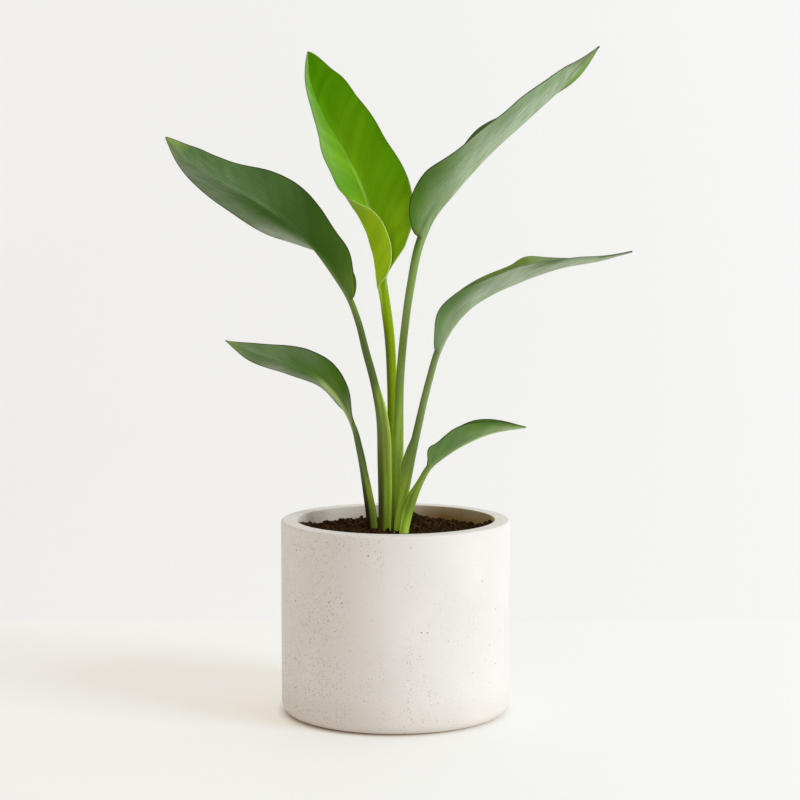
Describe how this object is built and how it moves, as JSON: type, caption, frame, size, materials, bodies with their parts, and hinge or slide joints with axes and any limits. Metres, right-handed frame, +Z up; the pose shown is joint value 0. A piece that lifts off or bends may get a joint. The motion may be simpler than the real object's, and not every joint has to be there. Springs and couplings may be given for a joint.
{
  "type": "potted bird of paradise",
  "caption": "Young bird of paradise house plant with broad ribbed leaves on channelled stalks, standing in a plain round cast-stone pot filled with soil.",
  "frame": {"origin": "centre of the pot's flat base, on the surface it stands on", "axes": "+Z up, along the plant; -Y towards the front of the plant; +X to its right as seen from the front"},
  "size_m": [0.3548, 0.18, 0.5225],
  "materials": {
    "stone": "matte",
    "soil": "matte",
    "rootstock": "matte",
    "petiole": "satin",
    "leaf": "satin",
    "young_leaf": "satin"
  },
  "bodies": {
    "root": {"pot": "stone", "soil": "soil", "rootstock": "rootstock", "petiole_upper_left": "petiole", "blade_upper_left": "leaf", "petiole_centre": "petiole", "blade_centre": "young_leaf", "petiole_upper_right": "petiole", "blade_upper_right": "leaf", "petiole_middle_right": "petiole", "blade_middle_right": "leaf", "petiole_lower_left": "petiole", "blade_lower_left": "leaf", "petiole_lower_right": "petiole", "blade_lower_right": "leaf"}
  },
  "joints": []
}
